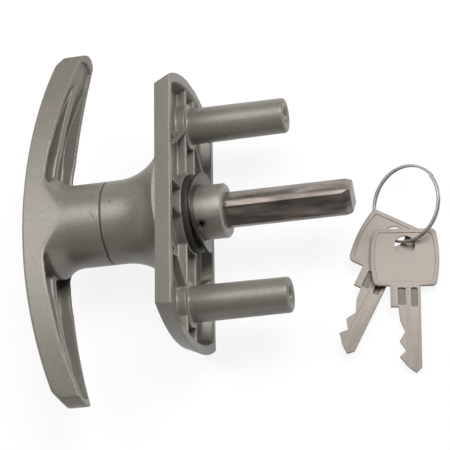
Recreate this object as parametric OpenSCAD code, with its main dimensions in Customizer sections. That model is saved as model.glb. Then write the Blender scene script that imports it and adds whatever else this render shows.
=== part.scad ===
// Garage door T handle lock with its keys.
// +Y runs along the spindle into the garage, +X along the backplate and +Z up.
// The origin is the centre of the backplate's door face.

/* [Backplate] */
// Length of the straight long edges
plate_l = 75.4; // [68:0.2:90]
// Width across the long edges
plate_w = 50.6; // [46:0.2:60]
// Thickness over the rim
plate_t = 5.7; // [4.5:0.1:7]
// How far the outer wall leans in from the door face to the front
plate_lean = 2.5; // [0:0.1:3]
// Rise of each curved end beyond the corners
plate_end_rise = 6.7; // [5:0.1:9]
// Thickness of the front skin under the pockets
skin_t = 2; // [1.5:0.1:3]
// Width of the rim along the long edges
side_rim = 2.6; // [2:0.1:4]
// Width of the rim round the curved ends
end_rim = 3; // [2.5:0.1:5]
// Thickness of the ribs
rib_t = 1.1; // [0.8:0.1:2]
// How far the ribs stay below the rim
rib_drop = 0.5; // [0.3:0.1:1]
// Distance of the long ribs from the centre line
long_rib_z = 4.7; // [3:0.1:6]
// Distance of the cross ribs from the spindle
cross_rib_x = 4.4; // [2:0.1:8]
// Place along the plate where each brace forks
fork_x = 19; // [16:0.5:21]
// Place across the plate where each brace forks
fork_z = 15.6; // [13:0.2:17]
// How far the fork's inner leg leans towards the spindle
fork_inner = 5.5; // [3:0.5:8]
// How far the fork's outer leg leans away from the spindle
fork_outer = 1.6; // [0:0.2:4]
// Diameter of the centre boss
boss_d = 25.4; // [22:0.2:30]
// Distance from the door face to the seam between the necks
neck_l = 26.5; // [25:0.1:32]
// Outside diameter of both necks
neck_d = 26.8; // [24.6:0.1:27.2]
// Radius of the flare from the neck to the plate
flare_r = 18.5; // [8:0.5:20]

/* [Fixing pillars] */
// Distance between the pillar centres
pillar_centres = 60; // [56:0.5:64]
// Diameter of a pillar at the plate
pillar_root_d = 11.7; // [10:0.1:13]
// Diameter of a pillar at its end
pillar_tip_d = 11.2; // [9:0.1:12]
// Length of a pillar from the door face
pillar_l = 31.1; // [26:0.1:45]
// Bevel round a pillar's end
pillar_bevel = 0.6; // [0.2:0.1:1]
// Diameter of the ring round a pillar's foot
pillar_ring_d = 14.6; // [13.6:0.1:18]
// Core diameter of the tapped holes
tap_d = 5; // [4:0.1:6]
// Depth of the tapped holes
tap_depth = 22; // [15:0.5:25]
// Diameter of the countersunk mouth of a tapped hole
tap_mouth_d = 6.4; // [6.2:0.1:8]

/* [T handle] */
// Length of the bar
bar_l = 119; // [110:1:130]
// Width of the bar at its middle
bar_w = 27.4; // [27.3:0.1:30]
// Radius of the long sides of the bar seen from the front
bar_side_r = 205; // [190:1:240]
// Radius of the blunt ends of the bar seen from the front
bar_end_r = 9; // [7.5:0.1:11]
// Distance from the door face to the back of the bar
bar_back = 45.4; // [44:0.1:47]
// Radius of the hollow back of the bar seen from above
bar_back_r = 169; // [150:1:190]
// Distance from the door face to the front of the bar
bar_front = 55.2; // [54:0.1:58]
// Radius of the front of the bar seen from above
bar_front_r = 160; // [150:1:175]
// Size of the cut across the front corner of each end of the bar
bar_nose = 2.6; // [1.5:0.1:3.5]
// Radius of the crown across the front of the bar
crown_r = 30; // [27:0.5:40]
// Thickness of the bar's side walls
bar_wall = 1.5; // [1.2:0.1:2.6]
// Thickness of the bar's front wall under the grooves
groove_floor = 3; // [2:0.1:4]
// Thickness of the rib along the middle of the bar
bar_rib = 3.4; // [2:0.1:5]
// How far the middle rib stays below the side walls
bar_rib_drop = 1.2; // [0.5:0.1:2]
// Width of the rim round each end of the bar
bar_tip = 2.5; // [2:0.1:6]
// Distance from the end of the bar to where its grooves run out
groove_end = 4; // [3:0.1:12]
// Space between the neck and the hollow of the bar
hollow_gap = 3; // [1:0.1:5]
// Radius of the fillet between the neck and the bar
neck_fillet = 8.5; // [3:0.5:10]

/* [Shank and spindle] */
// Diameter of the shank
shank_d = 17.3; // [16.8:0.1:17.8]
// Distance from the door face to the end of the shank
shank_end = 11.5; // [9:0.1:16]
// Bevel round the end of the shank
shank_bevel = 0.6; // [0.3:0.1:1.4]
// Length of the shank inside the handle's neck
shank_grip = 8; // [6:0.1:9]
// Distance across the spindle's flats
spindle_af = 9.5; // [8:0.1:10.2]
// Leg of the bevel on the spindle's corners
spindle_corner = 1.4; // [0.8:0.1:2]
// Distance from the door face to the spindle's tip
spindle_tip = 51.5; // [40:0.5:80]
// Length of the bevel at the spindle's tip
tip_l = 2.4; // [1.6:0.1:4]
// Depth of the bevel at the spindle's tip
tip_drop = 1; // [0.6:0.1:2]
// Wall of the shank between the dog's chamber and the spindle
spindle_wall = 3.1; // [1.5:0.1:6]
// Diameter of the roll pin
pin_d = 3.2; // [2.5:0.1:3.6]
// Wall of the roll pin
pin_wall = 0.7; // [0.5:0.1:0.9]
// Distance from the door face to the roll pin
pin_y = 4.4; // [4:0.1:6]
// How far the roll pin's ends lie below the shank
pin_sink = 0.3; // [0.2:0.1:1]

/* [Washers] */
// How far the black washer's edge lies inside the bowed ring's
washer_inset = 0.2; // [0:0.1:2]
// Height of the black washer above the door face
washer_t = 1.8; // [1.2:0.1:2.6]
// Outside diameter of the bowed ring
ring_d = 25.4; // [22:0.1:28]
// Thickness of the bowed ring
ring_t = 0.7; // [0.5:0.1:0.9]
// How far the bowed ring's ends stand up
ring_bow = 2.2; // [1:0.1:2.6]
// Thickness of the washer in the seam
seam_t = 0.3; // [0.2:0.05:1]
// How far the washer in the seam lies below the necks
seam_sink = 0.2; // [0.1:0.1:1]

/* [Lock cylinder] */
// Diameter of the bezel
bezel_d = 17; // [15.4:0.2:19]
// How far the bezel lies below the front of the bar
bezel_recess = 1.3; // [0.6:0.1:1.6]
// Thickness of the bezel
bezel_t = 1.6; // [1.2:0.1:2]
// Bevel round the bezel
bezel_bevel = 0.4; // [0.2:0.1:0.8]
// Diameter of the cylinder's shell
shell_d = 14.4; // [14:0.1:14.8]
// How far the cylinder's shell reaches past the end of the handle's neck
shell_reach = 0.85; // [0:0.05:1.2]
// Diameter of the plug
plug_d = 10; // [9.8:0.1:10.4]
// How far the plug lies behind the bezel
plug_sink = 0.3; // [0.1:0.1:0.5]
// Diameter of the plug's flange
flange_d = 12.2; // [11.4:0.1:12.6]
// Thickness of the plug's flange
flange_t = 1.5; // [1:0.1:2]
// Thickness of the clip behind the shell
clip_t = 0.8; // [0.6:0.1:1]
// Diameter of the clip
clip_d = 13; // [12:0.1:13.6]
// Depth of the clip's groove in the plug
clip_groove = 0.8; // [0.5:0.1:1.2]
// Width of the clip's mouth
clip_mouth = 5.6; // [4:0.1:6.4]
// Side of the square tang on the plug
tang = 4.2; // [3:0.1:5]
// Diameter of the grub screw
grub_d = 4; // [3:0.1:5]
// Across flats of the grub screw's socket
grub_hex = 2; // [1.5:0.1:2.2]

/* [Wafers] */
// Width of a wafer
wafer_w = 5; // [4.6:0.1:5.2]
// Height of a wafer
wafer_h = 8.4; // [8:0.1:8.4]
// Thickness of a wafer
wafer_t = 1; // [0.8:0.1:1.2]
// Distance from one wafer to the next
wafer_pitch = 2.3; // [2.1:0.1:2.4]
// Distance from the front of the shell to the first wafer
wafer_first = 4; // [3.8:0.1:4.2]
// How far a wafer springs out of the plug
wafer_travel = 0.9; // [0.5:0.1:1]
// Length of the tab that a wafer's spring pushes on
wafer_tab = 1.2; // [1:0.1:1.25]
// Mean radius of a wafer spring
spring_r = 0.4; // [0.3:0.02:0.42]
// Wire of a wafer spring
spring_wire = 0.16; // [0.1:0.02:0.18]
// Turns of a wafer spring
spring_turns = 4; // [2:1:4]

/* [Locking dog] */
// Width of the dog
dog_w = 6; // [5:0.1:7]
// Thickness of the dog along the spindle
dog_t = 4; // [3.5:0.1:4.4]
// How far the dog moves out
dog_travel = 2.2; // [1.6:0.1:2.4]
// How far the dog's end lies inside the shank at rest
dog_sink = 0.25; // [0.2:0.05:0.6]
// Length of the dog on the far side of the spindle
dog_tail = 5; // [4:0.1:5.4]
// Thickness of the cam
cam_t = 1.3; // [1:0.1:1.6]
// Thickness of the cam behind the plug's tang
cam_web = 0.5; // [0.4:0.1:0.6]
// Diameter of the cam
cam_d = 9.6; // [8:0.1:10]
// Diameter of the cam's peg
peg_d = 2.2; // [1.6:0.1:2.6]
// Length of the cam's peg
peg_l = 3; // [2:0.1:3.2]

/* [Keys and ring] */
// Thickness of a key
key_t = 1.6; // [1.4:0.1:1.7]
// Width of a key's bow at its middle
bow_w = 21.6; // [21:0.1:26]
// Width of a key's bow at its ends
bow_end_w = 19.4; // [17:0.1:20.5]
// Length of a key's bow
bow_l = 18.5; // [17:0.1:24]
// Radius of the corners of a key's bow
bow_r = 1.8; // [1:0.1:4]
// Diameter of the hole in a key's bow
key_hole_d = 6.6; // [6.4:0.1:7.5]
// Distance from the end of a key's bow to the middle of its hole
key_hole_x = 5.5; // [4.8:0.1:7]
// Width of a key's shoulder
shoulder_w = 9.4; // [8.6:0.1:12]
// Length of a key's shoulder beyond the bow
shoulder_l = 6.8; // [6:0.1:12]
// Width of a key's blade
blade_w = 7; // [6.6:0.1:7.4]
// Length of a key's blade beyond the shoulder
blade_l = 21; // [20.6:0.1:28]
// Distance along a key's blade that its cuts are set out by
cut_pitch = 2; // [1.8:0.05:2.1]
// Bevel at the point of a key's blade
blade_point = 1.8; // [1:0.1:2.4]
// Width of the milled slots in a key's shoulder
slot_w = 2; // [1.4:0.1:2.4]
// Width of the groove along a key's blade
groove_w = 1.2; // [0.8:0.1:1.8]
// Depth of the groove along a key's blade
groove_t = 0.5; // [0.2:0.1:0.6]
// Mean radius of the split ring
split_r = 12.3; // [11.6:0.1:13]
// Width of the split ring's wire
split_w = 0.8; // [0.7:0.05:1.1]
// Thickness of the split ring's wire
split_t = 0.4; // [0.35:0.05:0.55]
// Space between the two turns of the split ring
split_gap = 0.42; // [0.41:0.01:0.5]
// Distance from the door face to the middle of the split ring
split_y = 65; // [62:0.5:110]
// Place of the split ring along the plate
split_x = -2.7; // [-20:0.1:20]
// Height of the split ring's middle above the plate's lower edge
split_lift = 7; // [6.5:0.1:9]

/* [Fits] */
// Radial clearance of what turns
run_gap = 0.05; // [0.02:0.01:0.08]
// Radial clearance of what is fixed
fit_gap = 0.02; // [0.01:0.01:0.04]
// Clearance of what slides
slide_gap = 0.1; // [0.06:0.02:0.14]
// Space round the dog in its notches
notch_gap = 0.35; // [0.3:0.05:0.5]
// Space round inner pieces that never touch
clear_gap = 0.3; // [0.2:0.05:0.35]

/* [Hidden] */
$fn = 96;

// Overlap that joins two solids of one casting
sink = 0.5;
// Extra length of a cut beyond a face
cut = 1;
// How far the foot of the neck's flare lies inside the plate
flare_sink = 1.2;
// How far the centre boss stays below the rim
boss_drop = 0.3;
// Steps round each corner and along each side of a key's bow
bow_steps = 8;
// Wafers in the plug
wafer_count = 5;
// Rings and sides of the wire in each turn of a wafer spring
spring_rings = 8;
spring_sides = 6;
// Turns of the split ring, rings of its wire in each turn, and where its outer end lies
split_turns = 2;
split_rings = 40;
split_start = 125;

plate_half_l = plate_l / 2 + plate_end_rise;
end_r = (plate_w * plate_w / 4 + plate_end_rise * plate_end_rise) / (2 * plate_end_rise);
pillar_x = pillar_centres / 2;
neck_r = neck_d / 2;
shank_r = shank_d / 2;
plug_r = plug_d / 2;

// Levels along the spindle, from the front to the rear
bezel_y0 = -bar_front + bezel_recess;
shell_y0 = bezel_y0 + bezel_t;
neck_y0 = -neck_l - seam_t - run_gap;
shank_y0 = neck_y0 - shank_grip;
grub_y = neck_y0 - shank_grip / 2;
shell_y1 = neck_y0 + shell_reach;
plug_y0 = bezel_y0 + plug_sink;
clip_y0 = shell_y1 + slide_gap;
plug_y1 = clip_y0 + clip_t + sink;
cam_y1 = plug_y1 + cam_t;
dog_y0 = cam_y1 + notch_gap;
dog_y1 = dog_y0 + dog_t;
chamber_y1 = dog_y1 + notch_gap;
spindle_y0 = chamber_y1 + spindle_wall;
ring_y = washer_t + slide_gap;
washer_d = ring_d - 2 * washer_inset;
wafer_y0 = shell_y0 + wafer_first;
wafer_y1 = wafer_y0 + (wafer_count - 1) * wafer_pitch;

// Arc that cuts the front corners off the ends of the bar at 45 degrees
nose_x = (bar_l - bar_nose) / 2;
nose_drop = bar_front_r - sqrt(bar_front_r * bar_front_r - bar_l * bar_l / 4) + bar_nose / 2;
nose_r = nose_x * sqrt(2);

// Arc that the floors of the bar's grooves follow until they run out at the back of the bar
ramp_x = bar_l / 2 - groove_end;
ramp_front = bar_front - groove_floor;
ramp_rise = ramp_front - bar_back + bar_back_r - sqrt(bar_back_r * bar_back_r - ramp_x * ramp_x);
ramp_r = (ramp_x * ramp_x + ramp_rise * ramp_rise) / (2 * ramp_rise);

// Radii and heights inside the lock
ring_r = (ring_d * ring_d / 4 + ring_bow * ring_bow) / (2 * ring_bow);
groove_r = norm([wafer_w / 2, wafer_h / 2 + wafer_travel]) + clear_gap;
groove_half_w = wafer_w / 2 + clear_gap;
tab_x = wafer_w / 2 + wafer_tab;
// Height of a wafer's tab above the plug's middle, its thickness, and the spring under it
tab_z = 0.3;
tab_t = 0.8;
spring_l = 2.4;
spring_x = wafer_w / 2 + wafer_tab / 2 + slide_gap;
peg_offset = dog_travel / 2;
dog_z1 = shank_r - dog_sink;
notch_r = dog_z1 + dog_travel + notch_gap;
peg_slot_w = peg_d + notch_gap;
// Turn of the dog's slide about the spindle
dog_turn = 90;

// Lie of the ring and the keys on the surface that the plate's lower edge stands on
floor_z = -plate_w / 2;
split_tilt = [24, 6, 0];
key_tilt = [-11, 4, 0];
// Where each key hangs on the ring, how its hole lies off the wire, and which way it points
front_at = -6;
back_at = -28;
front_shift = [1.4, -0.3];
back_shift = [-1.2, 0.4];
front_yaw = -2.3;
back_yaw = -28.5;
split_pitch = split_t + split_gap;
split_middle = [split_x, split_y, floor_z + split_lift];
// Cut edge of a key's blade: steps along it from the shoulder, and depth of cut there
key_cuts = [[0, 0], [2, 0.4], [4, 2], [5.5, 0.2], [7, 2.2], [8, 0.2], [9.6, 2.8]];

zinc = [0.63, 0.61, 0.58];
bare_steel = [0.7, 0.69, 0.66];
dark_steel = [0.45, 0.4, 0.37];
nickel = [0.72, 0.68, 0.64];
black = [0.08, 0.08, 0.08];
brass = [0.72, 0.6, 0.35];

// Helpers that build along the spindle
module y_cyl(d, y0, y1) translate([0, y0, 0]) rotate([-90, 0, 0]) cylinder(d = d, h = y1 - y0);
module y_slab(y0, y1) {
    translate([0, y0, 0]) rotate([-90, 0, 0]) linear_extrude(y1 - y0) mirror([0, 1]) children();
}
module y_turn() rotate([-90, 0, 0]) rotate_extrude() children();
module z_cyl(r, y, h) translate([0, y, -h / 2]) cylinder(r = r, h = h);
module block(x0, x1, y0, y1, z0, z1) translate([x0, y0, z0]) cube([x1 - x0, y1 - y0, z1 - z0]);

// A flat strip from one point to another
module strip(p, q, w) {
    d = q - p;
    translate(p) rotate(atan2(d[1], d[0])) translate([0, -w / 2]) square([norm(d), w]);
}

// Outline of the backplate, drawn in by the given amounts
module plate_outline(side = 0, end = 0) {
    intersection() {
        square([2 * plate_half_l, plate_w - 2 * side], center = true);
        translate([plate_half_l - end_r, 0]) circle(r = end_r - end);
        translate([end_r - plate_half_l, 0]) circle(r = end_r - end);
    }
}

// How far the outer wall has leaned in at a level
function lean(y) = -plate_lean * y / plate_t;

// Cone that rounds one end of the backplate
module end_cone(s, y0, y1, end) {
    translate([s * (plate_half_l - end_r), y0, 0]) rotate([-90, 0, 0])
        cylinder(r1 = end_r - end - lean(y0), r2 = end_r - end - lean(y1), h = y1 - y0);
}

// Slice of the backplate with leaning walls, drawn in by the given amounts
module plate_slice(y0, y1, side = 0, end = 0) {
    reach = plate_half_l + cut;
    z0 = plate_w / 2 - side - lean(y0);
    z1 = plate_w / 2 - side - lean(y1);
    intersection() {
        translate([-reach, 0, 0]) rotate([90, 0, 90]) linear_extrude(2 * reach)
            polygon([[y0, -z0], [y1, -z1], [y1, z1], [y0, z0]]);
        end_cone(1, y0, y1, end);
        end_cone(-1, y0, y1, end);
    }
}

// Ribs of one quarter of the backplate
module quarter_ribs() {
    fork = [fork_x, fork_z];
    strip([0, long_rib_z], [plate_half_l, long_rib_z], rib_t);
    strip([cross_rib_x, 0], [cross_rib_x, plate_w / 2], rib_t);
    strip([pillar_x, 0], fork, rib_t);
    strip(fork, [fork_x + fork_outer, plate_w / 2], rib_t);
    strip(fork, [fork_x - fork_inner, plate_w / 2], rib_t);
}

module plate_ribs() {
    for (mx = [0, 1], mz = [0, 1]) mirror([mx, 0]) mirror([0, mz]) quarter_ribs();
}

module pillar() {
    root_y = -plate_t + skin_t - sink;
    y_turn() polygon([
        [0, root_y], [pillar_root_d / 2, root_y], [pillar_tip_d / 2, pillar_l - pillar_bevel],
        [pillar_tip_d / 2 - pillar_bevel, pillar_l], [0, pillar_l]
    ]);
}

module tapped_hole() {
    y_cyl(tap_d, pillar_l - tap_depth, pillar_l + cut);
    y_turn() polygon([
        [0, pillar_l - tap_mouth_d / 2], [tap_mouth_d / 2, pillar_l],
        [tap_mouth_d / 2, pillar_l + cut], [0, pillar_l + cut]
    ]);
}

// A round neck that flares out to a face at the given level
module flared_profile(y0, y1, flare) {
    translate([0, y0]) square([neck_r, y1 - y0]);
    difference() {
        translate([0, y1 - flare]) square([neck_r + flare, flare]);
        translate([neck_r + flare, y1 - flare]) circle(r = flare);
    }
}

module backplate() {
    color(zinc) difference() {
        union() {
            difference() {
                plate_slice(-plate_t, 0);
                plate_slice(-plate_t + skin_t, cut, side_rim, end_rim);
            }
            intersection() {
                plate_slice(-plate_t + skin_t - sink, -rib_drop, side_rim / 2, end_rim / 2);
                y_slab(-plate_t, 0) {
                    plate_ribs();
                    for (s = [-1, 1]) translate([s * pillar_x, 0]) circle(d = pillar_ring_d);
                }
            }
            y_cyl(boss_d, -plate_t + skin_t - sink, -boss_drop);
            for (s = [-1, 1]) translate([s * pillar_x, 0, 0]) pillar();
            intersection() {
                y_turn() flared_profile(-neck_l, -plate_t + flare_sink, flare_r);
                y_slab(-neck_l - cut, 0) plate_outline(plate_lean, plate_lean);
            }
        }
        y_cyl(shank_d + 2 * run_gap, -neck_l - cut, cut);
        for (a = [0:90:270]) rotate([0, a, 0]) {
            block(-dog_w / 2 - notch_gap, dog_w / 2 + notch_gap, dog_y0 - notch_gap, dog_y1 + notch_gap,
                0, notch_r);
        }
        for (s = [-1, 1]) translate([s * pillar_x, 0, 0]) tapped_hole();
    }
}

// Outline of the bar from the front: two long arcs with blunt round ends
module bar_outline(l, w) {
    side_z = bar_side_r - w / 2;
    end_x = l / 2 - bar_end_r;
    intersection() {
        translate([0, -side_z]) circle(r = bar_side_r);
        translate([0, side_z]) circle(r = bar_side_r);
        union() {
            square([2 * end_x, w + 2 * cut], center = true);
            for (s = [-1, 1]) translate([s * end_x, 0]) circle(r = bar_end_r);
        }
    }
}

// Barrel that crowns the front of the bar, the given depth under the surface
module crown(depth) {
    translate([0, crown_r - bar_front, 0]) rotate([0, 90, 0]) rotate_extrude() intersection() {
        translate([crown_r - bar_front_r, 0]) circle(r = bar_front_r - depth);
        translate([crown_r - nose_drop - nose_x, 0]) circle(r = nose_r - depth);
        translate([0, -bar_l / 2 - cut]) square([crown_r + cut, bar_l + 2 * cut]);
    }
}

// Everything behind the back of the bar, moved forwards by the given amount
module bar_behind(forward) z_cyl(bar_back_r + forward, bar_back_r - bar_back, 2 * bar_w);

module bar_solid() {
    difference() {
        intersection() {
            y_slab(-bar_front - cut, -bar_back / 2) bar_outline(bar_l, bar_w);
            crown(0);
        }
        bar_behind(0);
    }
}

// Space behind the bar inside its side walls, clear of the neck
module bar_hollow() {
    difference() {
        y_slab(-bar_front - cut, -bar_back / 2) bar_outline(bar_l - 2 * bar_tip, bar_w - 2 * bar_wall);
        y_cyl(neck_d + 2 * hollow_gap, -bar_front - 2 * cut, 0);
    }
}

module bar_grooves() {
    intersection() {
        bar_hollow();
        bar_behind(bar_rib_drop);
    }
    difference() {
        intersection() {
            bar_hollow();
            crown(groove_floor);
            z_cyl(ramp_r, ramp_r - ramp_front, 2 * bar_w);
        }
        block(-bar_l / 2, bar_l / 2, -bar_front, 0, -bar_rib / 2, bar_rib / 2);
    }
}

module grub_hole() {
    translate([0, grub_y, -neck_r - cut]) cylinder(d = grub_d + 2 * fit_gap, h = neck_r + cut);
}

module t_handle() {
    color(zinc) difference() {
        union() {
            bar_solid();
            intersection() {
                y_turn() mirror([0, 1]) flared_profile(-neck_y0, bar_back + sink, neck_fillet);
                y_slab(-bar_front, 0) bar_outline(bar_l, bar_w);
            }
        }
        bar_grooves();
        y_cyl(bezel_d + 2 * fit_gap, -bar_front - cut, shell_y0);
        y_cyl(shell_d + 2 * fit_gap, shell_y0 - cut, shank_y0 + cut);
        y_cyl(shank_d + 2 * fit_gap, shank_y0, neck_y0 + cut);
        grub_hole();
    }
}

// Square with bevelled corners, its flats at 45 degrees to the plate
module spindle_outline(gap = 0) {
    reach = (spindle_af - spindle_corner) * sqrt(2) + 2 * gap;
    intersection() {
        rotate(45) square(spindle_af + 2 * gap, center = true);
        square(reach, center = true);
    }
}

module pin_hole() {
    rotate([0, 45, 0]) translate([0, pin_y, 0]) cylinder(d = pin_d, h = 2 * shank_d, center = true);
}

module drive_shank() {
    color(bare_steel) difference() {
        y_turn() polygon([
            [0, shank_y0], [shank_r, shank_y0], [shank_r, shank_end - shank_bevel],
            [shank_r - shank_bevel, shank_end], [0, shank_end]
        ]);
        y_cyl(shell_d + 2 * fit_gap, shank_y0 - cut, chamber_y1);
        rotate([0, dog_turn, 0]) {
            block(-dog_w / 2 - slide_gap, dog_w / 2 + slide_gap, dog_y0 - slide_gap, dog_y1 + slide_gap,
                0, shank_r + cut);
        }
        y_slab(spindle_y0, shank_end + cut) spindle_outline(fit_gap);
        pin_hole();
        grub_hole();
    }
}

module spindle() {
    tilt = atan(tip_drop / tip_l);
    color(dark_steel) difference() {
        y_slab(spindle_y0, spindle_tip) spindle_outline();
        for (a = [45:90:315]) rotate([0, a, 0]) translate([0, spindle_tip - tip_l, spindle_af / 2]) {
            rotate([-tilt, 0, 0]) block(-spindle_af, spindle_af, 0, 2 * tip_l, 0, spindle_af);
        }
        pin_hole();
    }
}

module roll_pin() {
    l = shank_d - 2 * pin_sink;
    bore = pin_d - 2 * fit_gap - 2 * pin_wall;
    color(dark_steel) rotate([0, 45, 0]) translate([0, pin_y, 0]) difference() {
        cylinder(d = pin_d - 2 * fit_gap, h = l, center = true);
        cylinder(d = bore, h = l + cut, center = true);
        block(0, pin_d, -pin_wall / 2, pin_wall / 2, -l, l);
    }
}

module bearing_washer() {
    color(black) difference() {
        y_cyl(washer_d, -boss_drop, washer_t);
        y_cyl(shank_d + 2 * run_gap, -cut, washer_t + cut);
    }
}

module retaining_ring() {
    color(dark_steel) difference() {
        intersection() {
            y_cyl(ring_d, ring_y - cut, ring_y + ring_r);
            z_cyl(ring_r, ring_y + ring_r, 2 * ring_d);
        }
        z_cyl(ring_r - ring_t, ring_y + ring_r, 3 * ring_d);
        y_cyl(shank_d + 2 * fit_gap, 0, 2 * ring_r);
    }
}

module seam_washer() {
    color(black) difference() {
        y_cyl(neck_d - 2 * seam_sink, -neck_l - seam_t, -neck_l);
        y_cyl(shank_d + 2 * run_gap, -neck_l - seam_t - cut, -neck_l + cut);
    }
}

module lock_bezel() {
    r = bezel_d / 2;
    color(nickel) difference() {
        y_turn() polygon([
            [0, bezel_y0], [r - bezel_bevel, bezel_y0], [r, bezel_y0 + bezel_bevel],
            [r, shell_y0], [0, shell_y0]
        ]);
        y_cyl(plug_d + 2 * run_gap, bezel_y0 - cut, shell_y0 + cut);
    }
}

module cylinder_shell() {
    color(brass) difference() {
        y_cyl(shell_d, shell_y0, shell_y1);
        y_cyl(plug_d + 2 * run_gap, shell_y0 - cut, shell_y1 + cut);
        y_cyl(flange_d + 2 * run_gap, shell_y0 - cut, shell_y0 + flange_t + 2 * slide_gap);
        for (a = [0:90:270]) rotate([0, a, 0]) {
            block(-groove_half_w, groove_half_w, wafer_y0 - wafer_pitch / 2, wafer_y1 + wafer_pitch / 2,
                0, groove_r);
        }
        grub_hole();
    }
}

module lock_plug() {
    key_half_t = key_t / 2 + slide_gap;
    key_half_w = blade_w / 2 + slide_gap;
    color(brass) difference() {
        union() {
            y_cyl(plug_d, plug_y0, plug_y1);
            y_cyl(flange_d, shell_y0 + slide_gap, shell_y0 + slide_gap + flange_t);
            y_slab(plug_y1 - sink, cam_y1 - cam_web) square(tang, center = true);
        }
        difference() {
            y_cyl(plug_d + cut, clip_y0, clip_y0 + clip_t);
            y_cyl(plug_d - 2 * clip_groove, clip_y0 - cut, clip_y0 + clip_t + cut);
        }
        block(-key_half_t, key_half_t, plug_y0 - cut, wafer_y1 + wafer_pitch, -key_half_w, key_half_w);
        for (i = [0:wafer_count - 1]) translate([0, wafer_y0 + i * wafer_pitch, 0]) {
            block(-wafer_w / 2 - slide_gap, wafer_w / 2 + slide_gap, -wafer_t / 2 - slide_gap / 2,
                wafer_t / 2 + slide_gap / 2, -plug_d, plug_d);
            block(0, tab_x + 2 * slide_gap, -wafer_t / 2 - slide_gap, wafer_t / 2 + slide_gap,
                tab_z - spring_l - 2 * slide_gap, tab_z + tab_t + wafer_travel + slide_gap);
        }
    }
}

module plug_clip() {
    core_d = plug_d - 2 * clip_groove;
    color(dark_steel) difference() {
        y_cyl(clip_d, clip_y0, clip_y0 + clip_t);
        y_cyl(core_d + 2 * fit_gap, clip_y0 - cut, clip_y0 + clip_t + cut);
        block(-clip_mouth / 2, clip_mouth / 2, clip_y0 - cut, clip_y0 + clip_t + cut, 0, clip_d);
    }
}

module wafer(i) {
    window_half_w = key_t / 2 + 2 * slide_gap;
    window_half_h = blade_w / 2 - slide_gap;
    color(brass) translate([0, wafer_y0 + i * wafer_pitch, 0]) difference() {
        union() {
            block(-wafer_w / 2, wafer_w / 2, -wafer_t / 2, wafer_t / 2, -wafer_h / 2, wafer_h / 2);
            block(0, tab_x, -wafer_t / 2, wafer_t / 2, tab_z, tab_z + tab_t);
        }
        block(-window_half_w, window_half_w, -wafer_t, wafer_t, -window_half_h, window_half_h);
    }
}

// Tube that winds round Z, its section given as points across and along the axis
module coil(r, pitch, turns, section, per_turn) {
    n = turns * per_turn;
    m = len(section);
    points = [
        for (i = [0:n], p = section)
            let (a = 360 * i / per_turn)
            [(r + p[0]) * cos(a), (r + p[0]) * sin(a), pitch * i / per_turn + p[1]]
    ];
    sides = [
        for (i = [0:n - 1], j = [0:m - 1])
            let (a = i * m + j, b = i * m + (j + 1) % m)
            each [[a, a + m, b], [b, a + m, b + m]]
    ];
    caps = [for (j = [1:m - 2]) each [[0, j, j + 1], [n * m, n * m + j + 1, n * m + j]]];
    polyhedron(points = points, faces = concat(sides, caps));
}

module wafer_springs() {
    pitch = (spring_l - spring_wire) / spring_turns;
    section = [
        for (i = [0:spring_sides - 1])
            let (a = 360 * i / spring_sides)
            spring_wire / 2 * [cos(a), sin(a)]
    ];
    color(bare_steel) for (i = [0:wafer_count - 1]) {
        foot_z = tab_z - spring_l + spring_wire / 2 - slide_gap;
        translate([spring_x, wafer_y0 + i * wafer_pitch, foot_z]) {
            coil(spring_r, pitch, spring_turns, section, spring_rings);
        }
    }
}

module tail_cam() {
    color(dark_steel) {
        difference() {
            y_cyl(cam_d, plug_y1, cam_y1);
            y_slab(plug_y1 - cut, cam_y1 - cam_web) square(tang + 2 * fit_gap, center = true);
        }
        rotate([0, dog_turn, 0]) translate([-peg_offset, 0, -peg_offset]) {
            y_cyl(peg_d, cam_y1 - cam_web / 2, cam_y1 + peg_l);
        }
    }
}

module locking_dog() {
    color(bare_steel) rotate([0, dog_turn, 0]) difference() {
        intersection() {
            block(-dog_w / 2, dog_w / 2, dog_y0, dog_y1, -dog_tail, dog_z1 + cut);
            y_cyl(2 * dog_z1, dog_y0 - cut, dog_y1 + cut);
        }
        block(-dog_w, dog_w, dog_y0 - cut, cam_y1 + peg_l + notch_gap, -peg_offset - peg_slot_w / 2,
            -peg_offset + peg_slot_w / 2);
    }
}

module grub_screw() {
    r0 = plug_r + clear_gap;
    r1 = neck_r - seam_sink;
    color(dark_steel) translate([0, grub_y, -r1]) difference() {
        cylinder(d = grub_d, h = r1 - r0);
        translate([0, 0, -cut]) cylinder(d = grub_hex * 2 / sqrt(3), h = grub_d / 2 + cut, $fn = 6);
    }
}

// Bow of a key with bowed sides and round corners, drawn as a ring of points
module bow_outline() {
    bulge = (bow_w - bow_end_w) / 2;
    side_r = (bow_l * bow_l / 4 + bulge * bulge) / (2 * bulge);
    side_y = bow_w / 2 - side_r;
    reach = bow_l / 2 - bow_r;
    rise = sqrt((side_r - bow_r) * (side_r - bow_r) - reach * reach);
    turn = atan2(rise, reach);
    half = [
        for (i = [0:bow_steps]) let (a = turn * i / bow_steps)
            [reach + bow_r * cos(a), side_y + rise + bow_r * sin(a)],
        for (i = [1:bow_steps - 1]) let (a = turn + (180 - 2 * turn) * i / bow_steps)
            [side_r * cos(a), side_y + side_r * sin(a)],
        for (i = [bow_steps:-1:0]) let (a = turn * i / bow_steps)
            [-reach - bow_r * cos(a), side_y + rise + bow_r * sin(a)]
    ];
    translate([bow_l / 2 - key_hole_x, 0]) polygon(concat(half, -half));
}

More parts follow.
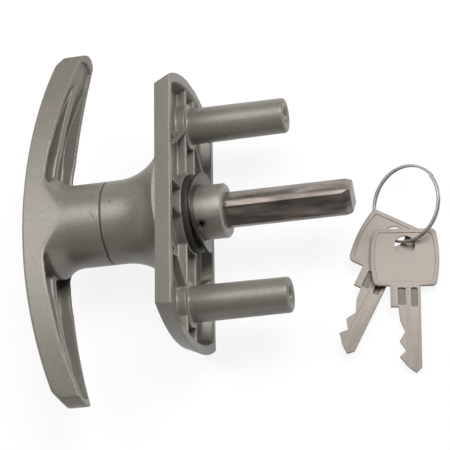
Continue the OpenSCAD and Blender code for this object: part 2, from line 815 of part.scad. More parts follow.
// A cut key with its hole at the origin, its blade along +X and its cuts on the -Y side
module key_outline() {
    neck_x = bow_l - key_hole_x;
    shoulder_x = neck_x + shoulder_l;
    tip_x = shoulder_x + blade_l;
    back = shoulder_w / 2;
    edge = back - blade_w;
    bow_outline();
    translate([neck_x - sink, -back]) square([shoulder_l + sink, shoulder_w]);
    polygon(concat(
        [[neck_x, back], [neck_x, edge]],
        [for (c = key_cuts) [shoulder_x + c[0] * cut_pitch, edge + c[1]]],
        [[tip_x, back - blade_point], [tip_x - blade_point, back]]
    ));
}

module key() {
    neck_x = bow_l - key_hole_x;
    slot_l = shoulder_l - 2 * slot_w;
    difference() {
        translate([0, 0, -key_t / 2]) linear_extrude(key_t) difference() {
            key_outline();
            circle(d = key_hole_d);
            for (s = [-1, 1]) translate([neck_x + slot_w / 2, s * shoulder_w / 4]) {
                strip([0, 0], [slot_l, 0], slot_w);
                circle(d = slot_w);
                translate([slot_l, 0]) circle(d = slot_w);
            }
        }
        for (s = [-1, 1]) translate([neck_x + shoulder_l, shoulder_w / 4, s * key_t / 2]) {
            block(0, 2 * blade_l, -groove_w / 2, groove_w / 2, -groove_t, groove_t);
        }
    }
}

// Middle of the split ring's turns, at an angle from the side nearest the keys' tips
function split_point(a) =
    let (
        x = split_r * cos(a),
        y = split_r * sin(a),
        z = split_pitch * ((a - split_start) / 360 + split_turns / 4),
        q = [
            x,
            y * cos(split_tilt[0]) - z * sin(split_tilt[0]),
            y * sin(split_tilt[0]) + z * cos(split_tilt[0])
        ]
    )
    split_middle + [
        q[0] * cos(split_tilt[1]) + q[2] * sin(split_tilt[1]),
        q[1],
        q[2] * cos(split_tilt[1]) - q[0] * sin(split_tilt[1])
    ];

module key_front() {
    color(nickel) translate(split_point(front_at)) rotate(key_tilt) {
        translate(front_shift) rotate(front_yaw) key();
    }
}

module key_back() {
    color(nickel) translate(split_point(back_at)) rotate(key_tilt) {
        translate(back_shift) rotate(back_yaw) key();
    }
}

module key_ring() {
    section = [
        [-split_w / 2, -split_t / 2], [split_w / 2, -split_t / 2],
        [split_w / 2, split_t / 2], [-split_w / 2, split_t / 2]
    ];
    echo(split_ring_gap = split_pitch - split_t);
    color(bare_steel) translate(split_middle) rotate(split_tilt) rotate(split_start) {
        translate([0, 0, -split_pitch * split_turns / 2]) {
            coil(split_r, split_pitch, split_turns, section, split_rings);
        }
    }
}

backplate();
t_handle();
drive_shank();
spindle();
roll_pin();
bearing_washer();
retaining_ring();
seam_washer();
lock_bezel();
cylinder_shell();
lock_plug();
plug_clip();
wafer(0);  // wafer_1
wafer(1);  // wafer_2
wafer(2);  // wafer_3
wafer(3);  // wafer_4
wafer(4);  // wafer_5
wafer_springs();
tail_cam();
locking_dog();
grub_screw();
key_front();
key_back();
key_ring();
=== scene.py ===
# Garage door T handle lock: the finish of every piece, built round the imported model
import math

import bmesh
import bpy
from mathutils import Matrix, Vector


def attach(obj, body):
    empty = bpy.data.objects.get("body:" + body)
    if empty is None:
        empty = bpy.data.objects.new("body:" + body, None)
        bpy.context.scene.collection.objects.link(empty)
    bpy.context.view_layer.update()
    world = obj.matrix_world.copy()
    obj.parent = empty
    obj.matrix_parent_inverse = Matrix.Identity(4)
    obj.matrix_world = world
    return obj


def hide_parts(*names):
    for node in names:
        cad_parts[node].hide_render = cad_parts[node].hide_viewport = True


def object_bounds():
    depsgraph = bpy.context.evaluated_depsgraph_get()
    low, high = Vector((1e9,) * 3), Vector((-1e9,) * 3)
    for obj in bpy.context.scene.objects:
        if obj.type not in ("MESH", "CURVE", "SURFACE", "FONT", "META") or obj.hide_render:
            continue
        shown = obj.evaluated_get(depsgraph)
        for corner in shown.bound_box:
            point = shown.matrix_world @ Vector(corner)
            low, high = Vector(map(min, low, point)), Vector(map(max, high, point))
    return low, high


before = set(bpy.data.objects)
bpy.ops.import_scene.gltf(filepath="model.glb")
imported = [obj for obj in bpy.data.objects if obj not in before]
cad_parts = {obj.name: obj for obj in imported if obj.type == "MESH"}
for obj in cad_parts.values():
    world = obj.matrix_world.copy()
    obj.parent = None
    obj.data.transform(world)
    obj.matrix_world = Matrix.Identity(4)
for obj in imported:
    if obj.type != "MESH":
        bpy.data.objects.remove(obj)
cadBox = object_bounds()
mm = 0.001
print("frame loaded:", len(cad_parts), "nodes")


# Camera at the photograph's angle, long lens, no shift
cameraSet = {
    "distance": 0.6298,
    "right": (0.0106, 0.9609, -0.2768),
    "up": (-0.9328, 0.1092, 0.3435),
    "towards": (0.3603, 0.2545, 0.8974),
    "lens": 159.7,
    "sensor": 36.0,
    "clip": (0.01, 20),
    "frameSize": 450,
    "originPixel": (192.845, 214.146),  # where the frame's origin falls in the picture
}


def makeCamera(s):
    pixelLens = s["lens"] / s["sensor"] * s["frameSize"]
    right, up, towards = (Vector(s[k]).normalized() for k in ("right", "up", "towards"))
    offX = (s["frameSize"] / 2 - s["originPixel"][0]) / pixelLens
    offY = (s["originPixel"][1] - s["frameSize"] / 2) / pixelLens
    back = (towards - right * offX - up * offY).normalized()
    right = up.cross(back).normalized()
    up = back.cross(right)
    data = bpy.data.cameras.new("camera")
    data.lens = s["lens"]
    data.sensor_width = s["sensor"]
    data.clip_start, data.clip_end = s["clip"]
    camera = bpy.data.objects.new("camera", data)
    turn = Matrix((right, up, back)).transposed().to_4x4()
    camera.matrix_world = Matrix.Translation(towards * s["distance"]) @ turn
    bpy.context.scene.collection.objects.link(camera)
    bpy.context.scene.camera = camera


makeCamera(cameraSet)
print("camera placed")


# Mesh helpers
meshSet = {"merge": 0.002 * mm, "bevelSteps": 2, "bevelProfile": 0.5}


def startBmesh(node):
    bm = bmesh.new()
    bm.from_mesh(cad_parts[node].data)
    bmesh.ops.remove_doubles(bm, verts=bm.verts, dist=meshSet["merge"])
    return bm


def newVerts(result):
    return [g for g in result["geom"] if isinstance(g, bmesh.types.BMVert)]


def bevelEdges(bm, edges, width):
    bmesh.ops.bevel(bm, geom=edges, offset=width, offset_type="OFFSET", segments=meshSet["bevelSteps"],
                    profile=meshSet["bevelProfile"], affect="EDGES", clamp_overlap=True, material=-1)


def tilted(aboutX, aboutY):
    return (Matrix.Rotation(math.radians(aboutY), 4, "Y")
            @ Matrix.Rotation(math.radians(aboutX), 4, "X"))


def finishObject(bm, name, smooth=True):
    mesh = bpy.data.meshes.new(name)
    bm.to_mesh(mesh)
    bm.free()
    for polygon in mesh.polygons:
        polygon.use_smooth = smooth
    piece = bpy.data.objects.new(name, mesh)
    bpy.context.scene.collection.objects.link(piece)
    return piece


def applyModifiers(piece):
    bpy.context.view_layer.update()
    solid = piece.evaluated_get(bpy.context.evaluated_depsgraph_get())
    mesh = bpy.data.meshes.new_from_object(solid)
    piece.modifiers.clear()
    piece.data = mesh


def setMaterial(mesh, material):
    mesh.materials.clear()
    mesh.materials.append(material)


def settle(piece, body, node):
    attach(piece, body)
    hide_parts(node)


# Material helpers
def newMaterial(name):
    material = bpy.data.materials.new(name)
    material.use_nodes = True
    tree = material.node_tree
    return material, tree.nodes, tree.links, tree.nodes["Principled BSDF"]


def noise(nodes, links, scale, detail, stretch=(1, 1, 1)):
    coords = nodes.new("ShaderNodeTexCoord")
    mapping = nodes.new("ShaderNodeMapping")
    mapping.inputs["Scale"].default_value = stretch
    texture = nodes.new("ShaderNodeTexNoise")
    texture.inputs["Scale"].default_value = scale
    texture.inputs["Detail"].default_value = detail
    links.new(coords.outputs["Object"], mapping.inputs["Vector"])
    links.new(mapping.outputs["Vector"], texture.inputs["Vector"])
    return texture.outputs["Fac"]


def ramp(nodes, links, value, tones):
    node = nodes.new("ShaderNodeValToRGB")
    elements = node.color_ramp.elements
    for i, (place, colour) in enumerate(tones):
        element = elements[i] if i < 2 else elements.new(place)  # a new ramp has two stops
        element.position = place
        element.color = (*colour, 1)
    links.new(value, node.inputs["Fac"])
    return node.outputs["Color"]


def span(nodes, links, value, low, high, start=0.0):
    node = nodes.new("ShaderNodeMapRange")
    node.inputs["From Min"].default_value = start
    node.inputs["To Min"].default_value = low
    node.inputs["To Max"].default_value = high
    links.new(value, node.inputs["Value"])
    return node.outputs["Result"]


def combine(nodes, links, operation, first, second):
    node = nodes.new("ShaderNodeMath")
    node.operation = operation
    links.new(first, node.inputs[0])
    links.new(second, node.inputs[1])
    return node.outputs[0]


def bump(nodes, links, value, shader, strength, distance, under=None):
    node = nodes.new("ShaderNodeBump")
    node.inputs["Strength"].default_value = strength
    node.inputs["Distance"].default_value = distance
    links.new(value, node.inputs["Height"])
    if under is not None:
        links.new(under, node.inputs["Normal"])
    links.new(node.outputs["Normal"], shader.inputs["Normal"])
    return node.outputs["Normal"]


# Satin silver paint on the castings, with a chip and a scratch on the necks
paintSet = {
    "tones": [(0.3, (0.272, 0.253, 0.22)), (0.7, (0.3, 0.279, 0.242))],
    "patch": {"scale": 45, "detail": 4},
    "grain": {"scale": 1700, "detail": 3}, "grainDepth": (0.7, 1.3),
    "flake": {"scale": 7000, "detail": 1}, "flakeBump": (0.12, 0.02 * mm),
    "peel": {"scale": 1500, "detail": 3}, "peelBump": (0.15, 0.05 * mm),
    "metallic": 0.32, "roughness": (0.34, 0.48),
    "markDepth": 0.5, "markCore": 0.4,
    "marks": [
        {"at": (-2.1, -23.3, 13.25), "along": (1, 0, 0), "size": (0.8, 0.42, 0.8)},
        {"at": (1.8, -29.0, 13.2), "along": (0.851, 0.511, -0.117), "size": (2.5, 0.28, 0.8)},
    ],
}


def smallMark(nodes, links, mark, s):
    coords = nodes.new("ShaderNodeTexCoord")
    local = nodes.new("ShaderNodeMapping")
    local.vector_type = "TEXTURE"
    local.inputs["Location"].default_value = Vector(mark["at"]) * mm
    local.inputs["Rotation"].default_value = Vector(mark["along"]).to_track_quat("X", "Z").to_euler()
    local.inputs["Scale"].default_value = Vector(mark["size"]) * mm
    reach = nodes.new("ShaderNodeVectorMath")
    reach.operation = "LENGTH"
    links.new(coords.outputs["Object"], local.inputs["Vector"])
    links.new(local.outputs["Vector"], reach.inputs[0])
    return span(nodes, links, reach.outputs["Value"], s["markDepth"], 1, s["markCore"])


def satinPaint(name, s):
    material, nodes, links, shader = newMaterial(name)
    tone = ramp(nodes, links, noise(nodes, links, **s["patch"]), s["tones"])
    grain = span(nodes, links, noise(nodes, links, **s["grain"]), *s["grainDepth"])
    for mark in s["marks"]:
        grain = combine(nodes, links, "MULTIPLY", grain, smallMark(nodes, links, mark, s))
    grained = nodes.new("ShaderNodeVectorMath")
    grained.operation = "SCALE"
    links.new(tone, grained.inputs[0])
    links.new(grain, grained.inputs["Scale"])
    links.new(grained.outputs["Vector"], shader.inputs["Base Color"])
    shader.inputs["Metallic"].default_value = s["metallic"]
    flakes = noise(nodes, links, **s["flake"])
    links.new(span(nodes, links, flakes, *s["roughness"]), shader.inputs["Roughness"])
    peel = noise(nodes, links, **s["peel"])
    under = bump(nodes, links, flakes, shader, *s["flakeBump"])
    bump(nodes, links, peel, shader, *s["peelBump"], under)
    return material


# Every other finish: smeared tones, and relief from its own marks or from the smear
def smearedFinish(name, s):
    material, nodes, links, shader = newMaterial(name)
    smear = noise(nodes, links, **s["smear"])
    links.new(ramp(nodes, links, smear, s["tones"]), shader.inputs["Base Color"])
    shader.inputs["Metallic"].default_value = s["metallic"]
    links.new(span(nodes, links, smear, *s["roughness"]), shader.inputs["Roughness"])
    relief = noise(nodes, links, **s["marks"]) if "marks" in s else smear
    if "bump" in s:
        bump(nodes, links, relief, shader, *s["bump"])
    return material


# Turned bare steel of the shank
bareSet = {
    "tones": [(0.3, (0.31, 0.294, 0.26)), (0.7, (0.42, 0.4, 0.355))],
    "smear": {"scale": 160, "detail": 4}, "metallic": 0.6, "roughness": (0.4, 0.55),
    "marks": {"scale": 9000, "detail": 2, "stretch": (0.02, 1, 0.02)}, "bump": (0.25, 0.01 * mm),
}

# Oiled dark steel of the square bar, streaked along it
barSet = {
    "tones": [(0.34, (0.13, 0.114, 0.102)), (0.66, (0.31, 0.28, 0.252)), (0.5, (0.24, 0.196, 0.17))],
    "smear": {"scale": 420, "detail": 5, "stretch": (1, 0.22, 1)}, "metallic": 0.6,
    "roughness": (0.18, 0.32), "bump": (0.2, 0.03 * mm),
}

# Browned spring steel of the bowed ring
brownSet = {
    "tones": [(0.3, (0.08, 0.065, 0.056)), (0.7, (0.15, 0.124, 0.106))],
    "smear": {"scale": 300, "detail": 4}, "metallic": 0.6, "roughness": (0.28, 0.48),
    "bump": (0.1, 0.03 * mm),
}

# Black washers
washerSet = {
    "tones": [(0.3, (0.03, 0.028, 0.026)), (0.7, (0.06, 0.055, 0.05))],
    "smear": {"scale": 1800, "detail": 3}, "metallic": 0.0, "roughness": (0.45, 0.65),
    "bump": (0.2, 0.03 * mm),
}

# Nickel plate of the keys and the bezel
nickelSet = {
    "tones": [(0.3, (0.384, 0.336, 0.292)), (0.7, (0.43, 0.376, 0.327))],
    "smear": {"scale": 220, "detail": 4}, "metallic": 0.12, "roughness": (0.46, 0.58),
    "marks": {"scale": 2200, "detail": 3, "stretch": (0.15, 1, 1)}, "bump": (0.15, 0.02 * mm),
}

# Milled slots of the keys in a darker nickel, painted shade inside the slots
slotShadeSet = {
    "tones": [(0.3, (0.12, 0.107, 0.095)), (0.7, (0.2, 0.18, 0.16))],
    "smear": {"scale": 900, "detail": 3}, "metallic": 0.3, "roughness": (0.4, 0.6),
}

# Polished wire of the split ring
wireSet = {
    "tones": [(0.3, (0.36, 0.352, 0.33)), (0.7, (0.48, 0.47, 0.44))],
    "smear": {"scale": 400, "detail": 3}, "metallic": 0.55, "roughness": (0.2, 0.34),
    "bump": (0.05, 0.02 * mm),
}

# Machined brass of the lock
brassSet = {
    "tones": [(0.3, (0.56, 0.42, 0.19)), (0.7, (0.72, 0.56, 0.28))],
    "smear": {"scale": 260, "detail": 4}, "metallic": 1.0, "roughness": (0.25, 0.42),
    "marks": {"scale": 5000, "detail": 2, "stretch": (0.1, 1, 0.1)}, "bump": (0.1, 0.01 * mm),
}

paint = satinPaint("satinPaint", paintSet)
bare = smearedFinish("turnedSteel", bareSet)
oiled = smearedFinish("oiledSteel", barSet)
browned = smearedFinish("brownedSteel", brownSet)
black = smearedFinish("blackWasher", washerSet)
nickel = smearedFinish("nickelPlate", nickelSet)
slotShadeNickel = smearedFinish("nickelPaintedSlotShade", slotShadeSet)
wire = smearedFinish("polishedWire", wireSet)
brass = smearedFinish("machinedBrass", brassSet)
print("materials made")


# Die castings: the plate with its pillars, and the T handle, with soft cast edges
castingSet = {"voxel": 0.3 * mm, "smoothing": 0.5, "passes": 2, "keepFaces": 190000}
# The two necks meet edge to edge, so their rims stay crisp; side is the way from the end into the piece
seamSet = {
    "backplate": {"end": -26.5 * mm, "side": 1},
    "t_handle": {"end": -26.85 * mm, "side": -1},
    "neck": 13.4 * mm, "reach": 0.7 * mm, "crisp": 0.06 * mm,
}
# The bar runs into its neck in a wide soft fillet
junctionSet = {
    "front": -50 * mm, "rear": -34 * mm, "half": 26 * mm, "bore": 9.5 * mm, "fade": 4 * mm,
    "factor": 0.5, "passes": 60,
}


def crispSeam(mesh, node, s):
    end, side = s[node]["end"], s[node]["side"]
    for v in mesh.vertices:
        depth = (v.co.y - end) * side
        radius = math.hypot(v.co.x, v.co.z)
        if s["crisp"] < depth < s["reach"] and radius > s["neck"] - s["reach"]:
            v.co.x *= s["neck"] / radius
            v.co.z *= s["neck"] / radius


def easeJunction(piece, s):
    group = piece.vertex_groups.new(name="junction")
    for v in piece.data.vertices:
        outside = math.hypot(v.co.x, v.co.z) > s["bore"]
        if outside and s["front"] < v.co.y < s["rear"] and abs(v.co.x) < s["half"]:
            edge = min(v.co.y - s["front"], s["rear"] - v.co.y, s["half"] - abs(v.co.x))
            group.add([v.index], min(1, edge / s["fade"]), "REPLACE")
    ease = piece.modifiers.new("ease", "SMOOTH")
    ease.vertex_group = "junction"
    ease.factor = s["factor"]
    ease.iterations = s["passes"]
    applyModifiers(piece)


def makeCasting(name, node, body, s, junction=None):
    piece = finishObject(startBmesh(node), name)
    remesh = piece.modifiers.new("skin", "REMESH")
    remesh.mode = "VOXEL"
    remesh.voxel_size = s["voxel"]
    remesh.use_smooth_shade = True
    soften = piece.modifiers.new("soften", "SMOOTH")
    soften.factor = s["smoothing"]
    soften.iterations = s["passes"]
    applyModifiers(piece)
    if junction is not None:
        easeJunction(piece, junction)
    crispSeam(piece.data, node, seamSet)
    triangles = sum(len(p.vertices) - 2 for p in piece.data.polygons)
    if triangles > s["keepFaces"]:
        thin = piece.modifiers.new("thin", "DECIMATE")
        thin.ratio = s["keepFaces"] / triangles
        applyModifiers(piece)
    for polygon in piece.data.polygons:
        polygon.use_smooth = True
    setMaterial(piece.data, paint)
    settle(piece, body, node)
    print(name, "triangles:", triangles, "faces kept:", len(piece.data.polygons))


makeCasting("plateCasting", "backplate", "base", castingSet)
makeCasting("handleCasting", "t_handle", "handle", castingSet, junctionSet)


# Turned and pressed pieces: copies of their solids with the sharp edges taken off
softSet = {
    "drive_shank": ("turnedShank", "handle", "bare_steel", bare, 0.12 * mm),
    "spindle": ("squareSpindle", "handle", "dark_steel", oiled, 0.2 * mm),
    "roll_pin": ("rollPin", "handle", "dark_steel", oiled, 0.08 * mm),
    "retaining_ring": ("bowedRing", "handle", "dark_steel", browned, 0.15 * mm),
    "bearing_washer": ("blackWasher", "base", "black_washer", black, 0.25 * mm),
    "lock_bezel": ("lockBezel", "handle", "nickel", nickel, 0.15 * mm),
    "lock_plug": ("lockPlug", "plug", "brass", brass, 0.1 * mm),
}
softAngles = {"flat": math.radians(0.5), "sharp": math.radians(30)}


def softCopy(node, name, body, slot, material, width):
    bm = startBmesh(node)
    bmesh.ops.dissolve_limit(bm, angle_limit=softAngles["flat"], verts=bm.verts, edges=bm.edges)
    sharp = [e for e in bm.edges if e.is_manifold and e.calc_face_angle(0) > softAngles["sharp"]]
    bevelEdges(bm, sharp, width)
    piece = finishObject(bm, name)
    piece.data.set_sharp_from_angle(angle=softAngles["sharp"])
    setMaterial(piece.data, material)
    settle(piece, body, node)


for node, settings in softSet.items():
    softCopy(node, *settings)
print("turned pieces softened:", len(softSet))


# Flat cut keys in mm: a raised border round the bow's panel, two milled slots and a groove along the blade
keySet = {
    "bow": (18.5, 21.6, 19.4), "corner": 1.8, "steps": 8, "holeAt": 5.5, "hole": 6.6, "holeSteps": 48,
    "thick": 1.6, "edge": 0.14, "border": 1.4, "panelCorner": 1.0, "recess": 0.26, "stepLean": 0.8,
    "neckLength": 6.8, "neckWidth": 9.4, "bladeLength": 21.0, "bladeWidth": 7.0, "point": 1.8,
    "cutPitch": 2.0, "cuts": [(0, 0), (2, 0.4), (4, 2), (5.5, 0.2), (7, 2.2), (8, 0.2), (9.6, 2.8)],
    "slots": [(-1.2, 2.5, 5.6), (2.7, 2.1, 6.2)], "slotStart": 0.7, "slotDepth": 0.75, "slotCorner": 0.3,
    "grooveAt": 0.75, "groove": 0.5, "grooveDepth": 0.25,
    "toolReach": 4.0, "sameHeight": 0.001, "flatFace": 0.95, "sharp": math.radians(40),
    "tilt": tilted(-11, 4),
}
keyPlaces = {
    "key_front": ("frontKey", "front_key", (10.8222, 63.4856, -20.0379), -2.3),
    "key_back": ("backKey", "back_key", (6.6587, 60.0924, -21.7076), -28.5),
}


# A bow with bulging sides and round corners: one half, and the same half turned round
def bowOutline(length, width, endWidth, corner, steps):
    bulge = (width - endWidth) / 2
    sideRadius = (length * length / 4 + bulge * bulge) / (2 * bulge)
    sideY, reach = width / 2 - sideRadius, length / 2 - corner
    rise = math.sqrt((sideRadius - corner) ** 2 - reach ** 2)
    turn = math.atan2(rise, reach)
    half = []
    for i in range(steps + 1):
        angle = turn * i / steps
        half.append((reach + corner * math.cos(angle), sideY + rise + corner * math.sin(angle)))
    for i in range(1, steps):
        angle = turn + (math.pi - 2 * turn) * i / steps
        half.append((sideRadius * math.cos(angle), sideY + sideRadius * math.sin(angle)))
    half += [(-x, y) for x, y in reversed(half[:steps + 1])]
    return half + [(-x, -y) for x, y in half]


def keyOutline(s):
    length, width, endWidth = s["bow"]
    middle, neck = length / 2 - s["holeAt"], s["neckWidth"] / 2
    neckX, edge = length - s["holeAt"], neck - s["bladeWidth"]
    shoulder = neckX + s["neckLength"]
    tip = shoulder + s["bladeLength"]
    bow = bowOutline(length, width, endWidth, s["corner"], s["steps"])
    outline = [(middle + x, y) for x, y in bow]
    outline += [(neckX, -neck), (shoulder, -neck)]
    outline += [(shoulder + place * s["cutPitch"], edge + depth) for place, depth in s["cuts"]]
    return outline + [(tip, neck - s["point"]), (tip - s["point"], neck), (neckX, neck)]


def holeOutline(s):
    turns = [i * math.tau / s["holeSteps"] for i in range(s["holeSteps"])]
    return [(s["hole"] / 2 * math.cos(turn), s["hole"] / 2 * math.sin(turn)) for turn in turns]


def boxOutline(x, y, length, width, corner=0.0):
    x1, y0, y1, c = x + length, y - width / 2, y + width / 2, corner
    if not c:
        return [(x, y0), (x1, y0), (x1, y1), (x, y1)]
    return [(x + c, y0), (x1 - c, y0), (x1, y0 + c), (x1, y1 - c),
            (x1 - c, y1), (x + c, y1), (x, y1 - c), (x, y0 + c)]


def prism(outline, low, high, name, material, edge=0.0, grow=None):
    bm = bmesh.new()
    base = bm.faces.new([bm.verts.new((x, y, low)) for x, y in outline])
    raised = bmesh.ops.extrude_face_region(bm, geom=[base], use_keep_orig=True)
    bmesh.ops.translate(bm, vec=(0, 0, high - low), verts=newVerts(raised))
    bmesh.ops.recalc_face_normals(bm, faces=bm.faces)
    if edge:
        bevelEdges(bm, [e for e in bm.edges if e.verts[0].co.z == e.verts[1].co.z], edge)
    if grow is not None:  # widen the end that stands clear of the key
        centre, factors = grow
        outer = max(low, high, key=abs)
        bmesh.ops.scale(bm, vec=(*factors, 1), space=Matrix.Translation(-centre),
                        verts=[v for v in bm.verts if abs(v.co.z - outer) < keySet["sameHeight"]])
    piece = finishObject(bm, name, smooth=False)
    piece.data.materials.append(material)
    return piece


# The tools that cut a key: its hole, and on each face the panel, the slots and the groove
def keyTools(name, s):
    top, (length, width, endWidth), rim = s["thick"] / 2, s["bow"], 2 * s["border"]
    middle, slotX = length / 2 - s["holeAt"], length - s["holeAt"] + s["slotStart"]
    clear = s["toolReach"]
    bow = bowOutline(length - rim, width - rim, endWidth - rim, s["panelCorner"], s["steps"])
    panel = [(middle + x, y) for x, y in bow]
    spread = 2 * s["stepLean"] * (clear - top + s["recess"])
    sloped = Vector((middle, 0, 0)), (1 + spread / (length - rim), 1 + spread / (width - rim))
    cuts = [("Panel", panel, s["recess"], nickel, sloped)]
    for i, (across, slotWidth, slotLength) in enumerate(s["slots"]):
        slot = boxOutline(slotX, across, slotLength, slotWidth, s["slotCorner"])
        # the slots get the darker nickel: painted shade inside them
        cuts.append((f"Slot{i}", slot, s["slotDepth"], slotShadeNickel, None))
    groove = boxOutline(slotX, s["grooveAt"], 2 * s["bladeLength"], s["groove"])
    cuts.append(("Groove", groove, s["grooveDepth"], nickel, None))
    tools = [prism(holeOutline(s), -clear, clear, name + "Hole", nickel)]
    for side in (-1, 1):
        for label, outline, depth, material, grow in cuts:
            low, high = sorted((side * (top - depth), side * clear))
            tools.append(prism(outline, low, high, name + label + str(side), material, grow=grow))
    return tools


def makeKey(node, name, body, hole, yaw, s):
    top = s["thick"] / 2
    piece = prism(keyOutline(s), -top, top, name, nickel, s["edge"])
    tools = keyTools(name, s)
    for tool in tools:
        cut = piece.modifiers.new(tool.name, "BOOLEAN")
        cut.operation = "DIFFERENCE"
        cut.solver = "EXACT"
        cut.material_mode = "TRANSFER"  # the slots keep the cutter's darker nickel, painted shade inside them
        cut.object = tool
    applyModifiers(piece)
    for tool in tools:
        bpy.data.objects.remove(tool)
    turn = s["tilt"] @ Matrix.Rotation(math.radians(yaw), 4, "Z")
    piece.data.transform(Matrix.Scale(mm, 4) @ Matrix.Translation(hole) @ turn)
    up = turn.to_3x3() @ Vector((0, 0, 1))
    for polygon in piece.data.polygons:
        polygon.use_smooth = abs(polygon.normal.dot(up)) < s["flatFace"]
    piece.data.set_sharp_from_angle(angle=s["sharp"])
    settle(piece, body, node)
    print(name, "faces:", len(piece.data.polygons), "materials:", len(piece.data.materials))


for node, (name, body, hole, yaw) in keyPlaces.items():
    makeKey(node, name, body, hole, yaw, keySet)


# Split ring in mm: two turns of flat wire with rounded edges
ringSet = {
    "radius": 12.3, "wide": 0.8, "thick": 0.4, "round": 0.14, "roundSteps": 3, "pitch": 0.82, "turns": 2,
    "steps": 160, "start": 125, "middle": (-2.7, 65.0, -18.3), "tilt": tilted(24, 6),
    "sharp": math.radians(50),
}


def makeSplitRing(s):
    bm = bmesh.new()
    bmesh.ops.create_grid(bm, x_segments=1, y_segments=1, size=0.5)
    bmesh.ops.scale(bm, vec=(s["wide"], s["thick"], 1), verts=bm.verts)
    bmesh.ops.rotate(bm, matrix=Matrix.Rotation(math.radians(90), 3, "X"), verts=bm.verts)
    bmesh.ops.bevel(bm, geom=bm.verts[:], offset=s["round"], offset_type="OFFSET", segments=s["roundSteps"],
                    profile=meshSet["bevelProfile"], affect="VERTICES", material=-1)
    bmesh.ops.delete(bm, geom=bm.faces[:], context="FACES_ONLY")
    bmesh.ops.translate(bm, vec=(s["radius"], 0, -s["pitch"] * s["turns"] / 2), verts=bm.verts)
    bmesh.ops.spin(bm, geom=bm.edges[:] + bm.verts[:], cent=(0, 0, 0), axis=(0, 0, 1),
                   dvec=(0, 0, s["pitch"] / s["steps"]), angle=math.tau * s["turns"],
                   steps=s["steps"] * s["turns"])
    bmesh.ops.holes_fill(bm, edges=[e for e in bm.edges if e.is_boundary], sides=0)
    bmesh.ops.recalc_face_normals(bm, faces=bm.faces)
    place = Matrix.Scale(mm, 4) @ Matrix.Translation(s["middle"]) @ s["tilt"]
    start = Matrix.Rotation(math.radians(s["start"]), 4, "Z")
    bmesh.ops.transform(bm, matrix=place @ start, verts=bm.verts)
    print("split ring faces:", len(bm.faces), "open edges:", sum(not e.is_manifold for e in bm.edges))
    piece = finishObject(bm, "splitRing")
    piece.data.set_sharp_from_angle(angle=s["sharp"])
    setMaterial(piece.data, wire)
    settle(piece, "ring", "key_ring")


makeSplitRing(ringSet)


# Inner pieces keep their solids and get their finish
innerFinishes = {
    "locking_dog": bare, "wafer_springs": bare,
    "plug_clip": oiled, "tail_cam": oiled, "grub_screw": oiled,
    "seam_washer": black,
    "cylinder_shell": brass,
    "wafer_1": brass, "wafer_2": brass, "wafer_3": brass, "wafer_4": brass, "wafer_5": brass,
}
for node, material in innerFinishes.items():
    setMaterial(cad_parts[node].data, material)
print("inner pieces dressed:", len(innerFinishes))


# Pale floor under the plate's lower edge, nearly white to the camera but for the shadow, with a low far wall
floorSet = {
    "half": 3.0, "wall": 0.6, "below": 0.02 * mm,
    "tones": [(0.3, (0.15, 0.15, 0.15)), (0.7, (0.16, 0.16, 0.16))],
    "grain": {"scale": 3, "detail": 2},
    "roughness": 1.0, "specular": 0.0, "glow": 0.88, "glowColour": (1, 1, 1, 1),
}


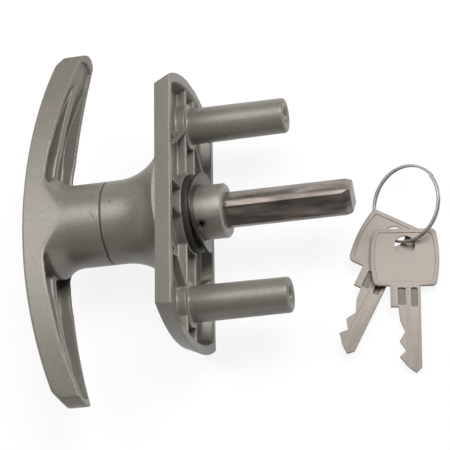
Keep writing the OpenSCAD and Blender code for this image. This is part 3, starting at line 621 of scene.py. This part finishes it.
def makeFloor(s):
    bm = bmesh.new()
    bmesh.ops.create_grid(bm, x_segments=1, y_segments=1, size=s["half"])
    rim = bmesh.ops.extrude_edge_only(bm, edges=[e for e in bm.edges if e.is_boundary])
    bmesh.ops.translate(bm, verts=newVerts(rim), vec=(0, 0, s["wall"]))
    bmesh.ops.translate(bm, verts=bm.verts, vec=(0, 0, cadBox[0].z - s["below"]))
    floor = finishObject(bm, "floor", smooth=False)
    material, nodes, links, shader = newMaterial("paleFloor")
    grain = noise(nodes, links, **s["grain"])
    links.new(ramp(nodes, links, grain, s["tones"]), shader.inputs["Base Color"])
    shader.inputs["Roughness"].default_value = s["roughness"]
    shader.inputs["Specular IOR Level"].default_value = s["specular"]
    shader.inputs["Emission Color"].default_value = s["glowColour"]
    path = nodes.new("ShaderNodeLightPath")
    seen = path.outputs["Is Camera Ray"]
    for ray in ("Is Glossy Ray", "Is Transmission Ray"):
        seen = combine(nodes, links, "MAXIMUM", seen, path.outputs[ray])
    links.new(span(nodes, links, seen, 0, s["glow"]), shader.inputs["Emission Strength"])
    setMaterial(floor.data, material)


makeFloor(floorSet)
print("floor laid")


# Soft studio light: three broad lamps overhead, a low one beyond the spindle's end, and a dim world
lightSet = {
    "key": {"place": (-0.14, -0.17, 0.67), "size": 0.42, "power": 1.15},
    "front": {"place": (-0.22, -0.40, 0.57), "size": 0.42, "power": 1.3},
    "side": {"place": (-0.16, 0.28, 0.62), "size": 0.34, "power": 3.4},
    "fill": {"place": (-0.05, 0.70, 0.32), "size": 0.5, "power": 0.7},
}
worldSet = {  # the way that each glow comes from, and its strength
    "glows": [
        ((-1, 0, 0), 0.1),
        ((0, 0, 1), 0.08),
        ((0, 1, 0), 0.22),
        ((0, -1, 0), 0.1),
        ((1, 0, 0), 0.03),
    ],
}


def makeLights(s):
    for name, lamp in s.items():
        data = bpy.data.lights.new(name, "AREA")
        data.size = lamp["size"]
        data.energy = lamp["power"]
        light = bpy.data.objects.new(name, data)
        light.location = lamp["place"]
        light.rotation_euler = (-Vector(lamp["place"])).to_track_quat("-Z", "Y").to_euler()
        bpy.context.scene.collection.objects.link(light)


def makeWorld(s):
    world = bpy.data.worlds.new("studio")
    world.use_nodes = True
    nodes, links = world.node_tree.nodes, world.node_tree.links
    coords = nodes.new("ShaderNodeTexCoord")
    total = None
    for towards, level in s["glows"]:
        lean = nodes.new("ShaderNodeVectorMath")
        lean.operation = "DOT_PRODUCT"
        lean.inputs[1].default_value = towards
        links.new(coords.outputs["Generated"], lean.inputs[0])
        glow = nodes.new("ShaderNodeMath")
        glow.operation = "MULTIPLY"
        glow.use_clamp = True
        glow.inputs[1].default_value = level
        links.new(lean.outputs["Value"], glow.inputs[0])
        total = glow.outputs[0] if total is None else combine(nodes, links, "ADD", total, glow.outputs[0])
    links.new(total, nodes["Background"].inputs["Strength"])
    bpy.context.scene.world = world


makeLights(lightSet)
makeWorld(worldSet)
bpy.context.scene.view_settings.view_transform = "Standard"
print("light set")
